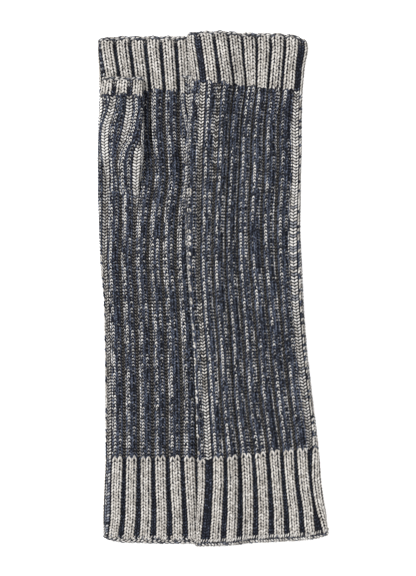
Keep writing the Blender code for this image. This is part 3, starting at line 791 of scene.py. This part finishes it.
def add_knit_columns(yarns, knit, rib, heights, ecru_face, pointed, seed):
    """The two knit columns of one rib: two legs a stitch, with the second yarn between them.

    pointed says that the top row reaches up into the next piece."""
    face = ECRU_FACE if ecru_face else NAVY_FACE
    count = len(heights)
    length = np.full(count, LEG_LENGTH * ROW)
    reach = np.zeros(count)
    if pointed:
        length[0], reach[0] = POINTED_LENGTH * ROW, POINTED_REACH * ROW
    for column in (0, 1):
        rng = np.random.default_rng(seed * 1000 + rib * 10 + column)
        y = swaying(rng, heights, 0.35)
        _, half_rib, _, _ = knit.layout(rib, y)
        half = (half_rib + face.wider) / 2
        middle = half * (1 if column else -1)
        fleck_middle = middle * FLECK_MIDDLES[column]
        share = SPECK_SHARE
        if not ecru_face:
            share = rng.uniform(*FLECK_SHARES[column]) + knit.warmer.flecks
        show = share + face.slow * wander(rng, heights, 9.0)
        show = np.clip(show + jitter(rng, face.quick, count), 0.0, 1.0)
        pale = pale_rows(knit, rng, rib, column, heights)
        for side in (-1, 1):
            tone = 0.5 + face.slow_tone * wander(rng, heights, 7.0)
            tone = tone + jitter(rng, face.quick_tone, count)
            inner = face.inner + jitter(rng, 0.06, count)[:, None]
            swing = jitter(rng, 0.07, count)[:, None]

            def leg_line(t):
                place = OUTER + (inner - OUTER) * t + (BOW + swing) * np.sin(np.pi * t)
                return middle[:, None] + side * place * half[:, None]

            def fleck_line(t):
                place = FLECK_OUTER - FLECK_RUN * t + swing
                return fleck_middle[:, None] + side * place * half[:, None]

            width = LEG_HALF_WIDTH + jitter(rng, 0.09, count)
            rise = LEG_RISE + jitter(rng, 0.09, count) + 0.25 * (reach > 0)
            ecru = np.where(pale > 0, 0.9, face.ecru)
            leg_y = y + jitter(rng, 0.08, count) * ROW + reach
            leg = (leg_y, length, width, rise, ecru, tone)
            add_leaf(yarns, knit, rib, leg_line, LEG_ROWS, *leg, sunk=0.5)
            second = navy_specks(rng, show) if ecru_face else ecru_flecks(rng, show)
            fleck_y = y + 0.15 * ROW
            add_leaf(yarns, knit, rib, fleck_line, SHORT_ROWS, fleck_y, sunk=0.3, **second)
    if not ecru_face:
        add_pale_line(yarns, knit, rib, heights, seed)


def add_pale_line(yarns, knit, rib, heights, seed):
    """The purl yarn's ends, which show as a broken line down one side of a navy rib."""
    rng = np.random.default_rng(seed * 1000 + rib * 10 + 5)
    y = swaying(rng, heights, 0.3)
    show = 0.5 + 0.45 * wander(rng, heights, 11.0) + jitter(rng, 0.35, len(y))
    show = np.where(pale_rows(knit, rng, rib, 3, heights) > 0, np.clip(show, 0.3, 0.6), show)
    seen = show > 0.2
    y, show = y[seen], np.clip(show[seen], 0, 1)
    _, half_rib, _, _ = knit.layout(rib, y)
    start = rng.uniform(-0.75, -0.5, (len(y), 1))

    def line(t):
        return knit.warmer.line_side * (half_rib[:, None] + start + 0.7 * t)

    tone = np.clip(0.15 + 0.7 * show + jitter(rng, 0.25, len(y)), 0, 1)
    width = 0.3 + 0.2 * show
    rise = 0.45 + 0.3 * show
    ecru = 0.55 + 0.35 * show
    leaf = (y, 1.3 * ROW, width, rise, ecru, tone)
    add_leaf(yarns, knit, rib, line, SHORT_ROWS, *leaf, sunk=0.25, crest=0.6)


# The two kinds of purl bars. tone: how light they are, with painted shade, as a closed gutter lies
# in shade. wide: half their width in rows. flat_tone, flat_wide: what these gain in a gutter drawn
# flat, where the ecru bars lose that painted shade. quick_tone: how far the tone changes from bar
# to bar. pale_tone: the least tone where the ecru yarn covers them
Bars = namedtuple("Bars", "ecru tone flat_tone quick_tone wide flat_wide rise pale_tone")
ECRU_BARS = Bars(0.85, 0.12, 0.72, 0.28, 0.28, 0.12, 0.5, 0.7)
NAVY_BARS = Bars(0.0, 0.4, -0.1, 0.2, 0.4, 0.05, 0.35, 0.85)
MARL = (0.1, 0.6, 1.0)  # how ecru a marled bar is
BAR_OVERLAP = 0.12  # how far a bar starts beyond a gutter's middle, as a share of half the gutter
BAR_RUN = 1.1  # how far it runs across, in the same way
BAR_CLIMB = 0.75  # rows that it climbs


def add_gutter(yarns, knit, rib, heights, ecru_face, seed):
    """The purl columns right of a rib: short slanting bars, two to a row, not in the rib's yarn."""
    bars = NAVY_BARS if ecru_face else ECRU_BARS
    rng = np.random.default_rng(seed * 1000 + 500 + rib)
    y = swaying(rng, heights, 0.3)
    _, half_rib, _, reach = knit.layout(rib, y)
    along, across = leaf_places(SHORT_ROWS)
    t = along[None, :]
    flat = openness(reach)
    capped = smooth_step(1 - (knit.hand_end - y - knit.cap) / CAP_RUN)
    pale = pale_rows(knit, rng, rib, 2, heights)
    for side in (-1, 1):
        # Painted shade: the bars are darker in a closed gutter and lighter as it stands open
        tone = bars.tone + bars.flat_tone * flat + 0.15 * wander(rng, heights, 8.0)
        tone = tone + jitter(rng, bars.quick_tone, len(y))
        offset = 0.25 + 0.2 * wander(rng, heights, 15.0)
        line = (half_rib + reach)[:, None] + side * reach[:, None] * (BAR_RUN * t - BAR_OVERLAP)
        wide = bars.wide + bars.flat_wide * flat
        half_width = wide[:, None] * ROW * across * taper(t)
        place_y = y + offset * (side > 0) * ROW
        place_y = place_y[:, None] + BAR_CLIMB * (t - 0.5) * ROW + half_width
        points = rib_point(knit, rib, line, place_y, leaf_lift(t, across, bars.rise, sunk=0.2))
        # Painted shade as well: in a closed gutter the ecru bars are mixed towards navy, so darker
        ecru = bars.ecru * (0.55 + 0.45 * flat)
        marl = capped * rng.choice(MARL, len(y))
        covered = rng.choice([0.1, 0.5], len(y)) if ecru_face else 0.95
        ecru = np.where(pale > 0, covered, np.where(pale < 0, 0.25, ecru))
        ecru = np.maximum(ecru, marl)
        tone = np.where(pale > 0, np.maximum(tone + 0.15, bars.pale_tone), tone)
        tone = np.clip(tone + 0.25 * capped, 0, 1)
        yarns.add(points, len(SHORT_ROWS), ecru, tone, along, across)


# Where the cloth has its points, as shares of a half rib and of a half gutter
RIB_STEPS = (-1.0, -0.6, 0.0, 0.6, 1.0)
GUTTER_STEPS = (0.5, 1.0, 1.5)


def shell_piece(name, knit, heights, material, sink=0.0):
    """The cloth under the stitches: an open tube of one wall, with the ribs' relief."""
    rings = []
    for y in heights:
        ring = []
        for rib in range(knit.count):
            _, half_rib, _, right = (float(v[0]) for v in knit.layout(rib, np.array([y])))
            ways = [half_rib * step for step in RIB_STEPS]
            ways += [half_rib + right * step for step in GUTTER_STEPS]
            ring += [(rib, way) for way in ways]
        ribs, across = map(np.array, zip(*ring))
        rings.append(rib_point(knit, ribs, across, np.full(len(ring), y), -sink))
    each = len(rings[0])
    points = np.concatenate(rings)
    start = np.arange(each)
    after = (start + 1) % each
    faces = []
    for ring in range(len(rings) - 1):
        a, b = ring * each, (ring + 1) * each
        faces.append(np.stack([a + start, b + start, b + after, a + after], -1))
    mesh = mesh_from(name, points, [np.concatenate(faces)])
    return finish_piece(name, mesh, material)


def new_material(name):
    """A material, its node tree and its shader."""
    material = bpy.data.materials.new(name)
    material.use_nodes = True
    tree = material.node_tree
    shader = tree.nodes["Principled BSDF"]
    return material, tree, shader


def add_bump(tree, shader, height, strength, distance):
    bump = tree.nodes.new("ShaderNodeBump")
    bump.inputs["Strength"].default_value = strength
    bump.inputs["Distance"].default_value = distance
    tree.links.new(height, bump.inputs["Height"])
    tree.links.new(bump.outputs[0], shader.inputs["Normal"])


def colour(red, green, blue):
    """An sRGB colour, 0 to 255, as the linear one that a shader takes."""
    values = np.array([red, green, blue]) / 255
    linear = np.where(values <= 0.04045, values / 12.92, ((values + 0.055) / 1.055) ** 2.4)
    return (*linear.tolist(), 1.0)


def feed(tree, socket, value):
    """Gives a socket its number or colour, or links another node's output to it."""
    if isinstance(value, (int, float, tuple)):
        socket.default_value = value
    else:
        tree.links.new(value, socket)


def math_node(tree, operation, *values):
    node = tree.nodes.new("ShaderNodeMath")
    node.operation = operation
    for socket, value in zip(node.inputs, values):
        feed(tree, socket, value)
    return node.outputs[0]


def ramp_node(tree, factor, stops):
    node = tree.nodes.new("ShaderNodeValToRGB")
    ramp = node.color_ramp
    ramp.elements[0].position, ramp.elements[0].color = stops[0]
    ramp.elements[1].position, ramp.elements[1].color = stops[-1]
    for position, value in stops[1:-1]:
        ramp.elements.new(position).color = value
    tree.links.new(factor, node.inputs[0])
    return node.outputs[0]


def mix_node(tree, factor, first, second, blend="MIX"):
    node = tree.nodes.new("ShaderNodeMix")
    node.data_type, node.blend_type = "RGBA", blend
    # The sockets of a colour mix
    for number, value in ((0, factor), (6, first), (7, second)):
        feed(tree, node.inputs[number], value)
    return node.outputs[2]


def noise_node(tree, scale, detail=3.0):
    node = tree.nodes.new("ShaderNodeTexNoise")
    node.inputs["Scale"].default_value = scale
    node.inputs["Detail"].default_value = detail
    where = tree.nodes.new("ShaderNodeTexCoord")
    tree.links.new(where.outputs["Object"], node.inputs["Vector"])
    return node.outputs["Fac"]


# The two yarns, from shadow to light
NAVY = [(0.05, colour(8, 9, 16)), (0.5, colour(33, 38, 52)), (0.95, colour(94, 102, 120))]
ECRU = [(0.05, colour(122, 116, 108)), (0.5, colour(187, 182, 176)), (0.95, colour(224, 221, 217))]


def from_centre(tree, value):
    """Squared distance from 0.5 of a value that runs from 0 to 1: 0 there, and 1 at both ends."""
    away = math_node(tree, "ABSOLUTE", math_node(tree, "MULTIPLY_ADD", value, 2.0, -1.0))
    return math_node(tree, "POWER", away, 2.0)


def yarn_material():
    """Yarn of plied wool. Its mesh says how ecru it is, how light, and where on the ply."""
    material, tree, shader = new_material("yarn")
    facts = tree.nodes.new("ShaderNodeAttribute")
    facts.attribute_name = "yarn"
    parts = tree.nodes.new("ShaderNodeSeparateColor")
    tree.links.new(facts.outputs["Color"], parts.inputs[0])
    ecru, tone, across = parts.outputs
    along = facts.outputs["Alpha"]
    fleece = noise_node(tree, 1300.0, 4.0)
    # Fibres show less on the ecru yarn
    contrast = math_node(tree, "MULTIPLY_ADD", ecru, -1.9, 3.2)
    fibres = math_node(tree, "ADD", fleece, -0.5)
    light = math_node(tree, "MULTIPLY_ADD", fibres, contrast, tone)
    base = mix_node(tree, ecru, ramp_node(tree, light, NAVY), ramp_node(tree, light, ECRU))
    # The ply: slanting grooves round the yarn
    twist = math_node(tree, "MULTIPLY_ADD", along, 5.0, math_node(tree, "MULTIPLY", across, 1.2))
    wave = math_node(tree, "SINE", math_node(tree, "MULTIPLY", twist, 2 * math.pi))
    # Painted shade: both sides and both ends are darker, where the yarn runs under its neighbours,
    # on the navy yarn more, and the ply's grooves a little
    side_dark = math_node(tree, "MULTIPLY_ADD", ecru, 0.25, -0.7)
    shade = math_node(tree, "MULTIPLY_ADD", from_centre(tree, across), side_dark, 1.0)
    end_dark = math_node(tree, "MULTIPLY_ADD", ecru, 0.24, -0.62)
    shade = math_node(tree, "MULTIPLY_ADD", from_centre(tree, along), end_dark, shade)
    shade = math_node(tree, "MULTIPLY_ADD", wave, 0.05, shade)
    shade = ramp_node(tree, shade, [(0.0, (0, 0, 0, 1)), (1.0, (1, 1, 1, 1))])
    tree.links.new(mix_node(tree, 1.0, base, shade, "MULTIPLY"), shader.inputs["Base Color"])
    add_bump(tree, shader, math_node(tree, "MULTIPLY_ADD", wave, 0.35, fleece), 0.5, 0.0002)
    shader.inputs["Roughness"].default_value = 0.9
    shader.inputs["Sheen Weight"].default_value = 0.12
    shader.inputs["Sheen Roughness"].default_value = 0.5
    shader.inputs["Specular IOR Level"].default_value = 0.2
    return material


def cloth_material(name, dark, light):
    """The cloth that shows between stitches."""
    material, tree, shader = new_material(name)
    fleece = noise_node(tree, 900.0)
    shades = ramp_node(tree, fleece, [(0.3, dark), (0.7, light)])
    tree.links.new(shades, shader.inputs["Base Color"])
    add_bump(tree, shader, fleece, 0.6, 0.0003)
    shader.inputs["Roughness"].default_value = 0.95
    shader.inputs["Specular IOR Level"].default_value = 0.1
    return material


YARN = yarn_material()
# Navy, darker than the navy yarn: painted shade in the gaps between the stitches
NAVY_CLOTH = cloth_material("navy_cloth", colour(7, 8, 12), colour(20, 22, 30))
EDGE_CLOTH = cloth_material("edge_cloth", colour(30, 33, 42), colour(70, 72, 78))


def add_chain(yarns, knit, y_end, towards, lanes, seed):
    """A bound edge: lines of slanting links over the edge's outer side and its lip."""
    rng = np.random.default_rng(seed)
    along, across = leaf_places(LEG_ROWS)
    t = along[None, :]
    for lane in lanes:
        count = lane.links
        size = math.hypot(lane.rise, lane.run)
        for rib in range(knit.count):
            places = (np.arange(count) + jitter(rng, 0.15, count) + 0.5) / count
            places = 2 * places - 1
            _, half_rib, left, right = knit.layout(rib, np.full(count, y_end))
            centre = places * (half_rib + np.where(places < 0, left, right))
            ecru = rng.uniform(0.75, 1.0, count)
            ecru = np.where(rng.uniform(0, 1, count) < lane.ecru, ecru, 0.12)
            tone = rng.uniform(0.35, 1.0, count)
            half_width = lane.half_width * rng.uniform(0.85, 1.15, count)[:, None]
            half_width = half_width * across * taper(t)
            way = centre[:, None] + lane.run * (t - 0.5) - half_width * lane.rise / size
            out = lane.height + lane.rise * (t - 0.5) + half_width * lane.run / size
            out = out + jitter(rng, 0.15, count)[:, None]
            lift = leaf_lift(t, across, rise=0.8, sunk=0.4) - lane.depth
            points = rib_point(knit, rib, way, y_end + towards * out, lift)
            yarns.add(points, len(LEG_ROWS), ecru, tone, along, across)


def dress_tube(knit, node, top, bottom, ecru_face, seed):
    """One tube: its cloth and its stitches."""
    pointed = top < knit.hand_end - 2 * EDGE_HEIGHT
    rings = np.linspace(top, bottom, step_count(top, bottom, SHELL_STEP) + 1)
    cloth = shell_piece(f"{node}_cloth", knit, rings, NAVY_CLOTH)
    heights = row_heights(top, bottom)
    half = (knit.count + 1) // 2
    groups = {"_front": range(half), "_back": range(half, knit.count)}
    if len(heights) < LONG_TUBE:
        groups = {"": range(knit.count)}
    for group, ribs in groups.items():
        yarns = Yarns()
        for rib in ribs:
            add_knit_columns(yarns, knit, rib, heights, ecru_face, pointed, seed)
            add_gutter(yarns, knit, rib, heights, ecru_face, seed)
        piece = yarns.piece(f"{node}_stitches{group}", YARN)
    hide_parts(node)
    size = (float(knit.round(np.array((top + bottom) / 2))) * MM, (top - bottom) * MM)


def dress_edge(knit, node, top, bottom, towards, seed):
    """A bound edge: its cloth and its chain, which are the hem of a cuff."""
    cloth = shell_piece(f"{node}_cloth", knit, np.linspace(top, bottom, 3), EDGE_CLOTH, sink=0.3)
    yarns = Yarns()
    lanes = HAND_LANES if towards > 0 else knit.warmer.arm_lanes
    add_chain(yarns, knit, top if towards > 0 else bottom, towards, lanes, seed)
    chain = yarns.piece(f"{node}_chain", YARN)
    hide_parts(node)
    return [cloth, chain]


def dress_warmer(warmer):
    """One warmer and its thumb."""
    knit = Body(warmer)
    name, seed = warmer.name, warmer.seed
    hand_end, hand_cuff, arm_cuff, arm_end = warmer.joins
    hand_edge, arm_edge = hand_end - EDGE_HEIGHT, arm_end + EDGE_HEIGHT
    hem = dress_edge(knit, f"{name}_hand_edge", hand_end, hand_edge, 1, seed + 1)
    dress_tube(knit, f"{name}_hand_cuff", hand_edge, hand_cuff, True, seed + 2)
    dress_tube(knit, f"{name}_body", hand_cuff, arm_cuff, False, seed + 3)
    hem = dress_edge(knit, f"{name}_arm_edge", arm_edge, arm_end, -1, seed + 5)
    dress_tube(knit, f"{name}_arm_cuff", arm_cuff, arm_edge, True, seed + 4)
    thumb = Thumb(warmer)
    tip, cuff_end, root = (warmer.thumb[place].far for place in (0, 1, -1))
    edge = tip - EDGE_HEIGHT
    hem = dress_edge(thumb, f"{name}_thumb_edge", tip, edge, 1, seed + 6)
    dress_tube(thumb, f"{name}_thumb_cuff", edge, cuff_end, True, seed + 7)
    dress_tube(thumb, f"{name}_thumb", cuff_end, root, False, seed + 8)


def add_floor():
    mesh = bpy.data.meshes.new("floor")
    side = 2.0
    low = -0.0003
    corners = [(-side, -side, low), (side, -side, low), (side, side, low), (-side, side, low)]
    mesh.from_pydata(corners, [], [(0, 1, 2, 3)])
    material, _, shader = new_material("floor")
    shader.inputs["Base Color"].default_value = (0.95, 0.95, 0.95, 1)
    shader.inputs["Roughness"].default_value = 1.0
    shader.inputs["Emission Color"].default_value = (1, 1, 1, 1)
    shader.inputs["Emission Strength"].default_value = 0.45
    shader.inputs["Specular IOR Level"].default_value = 0.0
    mesh.materials.append(material)
    floor = bpy.data.objects.new("floor", mesh)
    bpy.context.scene.collection.objects.link(floor)


def add_area_light(name, place, size, power):
    """A round lamp aimed at the middle of the pair."""
    light = bpy.data.lights.new(name, "AREA")
    light.shape, light.size, light.energy = "DISK", size, power
    lamp = bpy.data.objects.new(name, light)
    bpy.context.scene.collection.objects.link(lamp)
    lamp.location = place
    lamp.rotation_euler = (-Vector(place)).to_track_quat("-Z", "Y").to_euler()


def add_camera():
    """Straight down on the pair, framed as in the photograph."""
    camera = bpy.data.cameras.new("camera")
    camera.sensor_fit, camera.sensor_height, camera.lens = "VERTICAL", 36.0, 100.0
    camera.clip_end = 20.0
    eye = bpy.data.objects.new("camera", camera)
    right = PHOTO_SIZE[0] / 2 - ORIGIN_PIXEL[0]
    up = ORIGIN_PIXEL[1] - PHOTO_SIZE[1] / 2
    middle = np.array([right, up, 0.0]) * PIXEL + CENTRE
    away = PHOTO_SIZE[1] * PIXEL * MM * camera.lens / camera.sensor_height
    eye.location = (middle[0] * MM, middle[1] * MM, SHOWN_HEIGHT * MM + away)
    bpy.context.scene.collection.objects.link(eye)
    bpy.context.scene.camera = eye


def add_world():
    bpy.context.scene.view_settings.view_transform = "Standard"
    world = bpy.data.worlds.new("studio")
    world.use_nodes = True
    colour_in, strength_in = world.node_tree.nodes["Background"].inputs[:2]
    colour_in.default_value = (1, 1, 1, 1)
    strength_in.default_value = 0.72
    bpy.context.scene.world = world


add_floor()
dress_warmer(LEFT)
dress_warmer(RIGHT)
add_camera()
add_world()
add_area_light("key", (-1.8, 1.4, 2.2), size=1.0, power=119.0)
add_area_light("fill", (1.0, -0.5, 1.4), size=1.2, power=6.0)
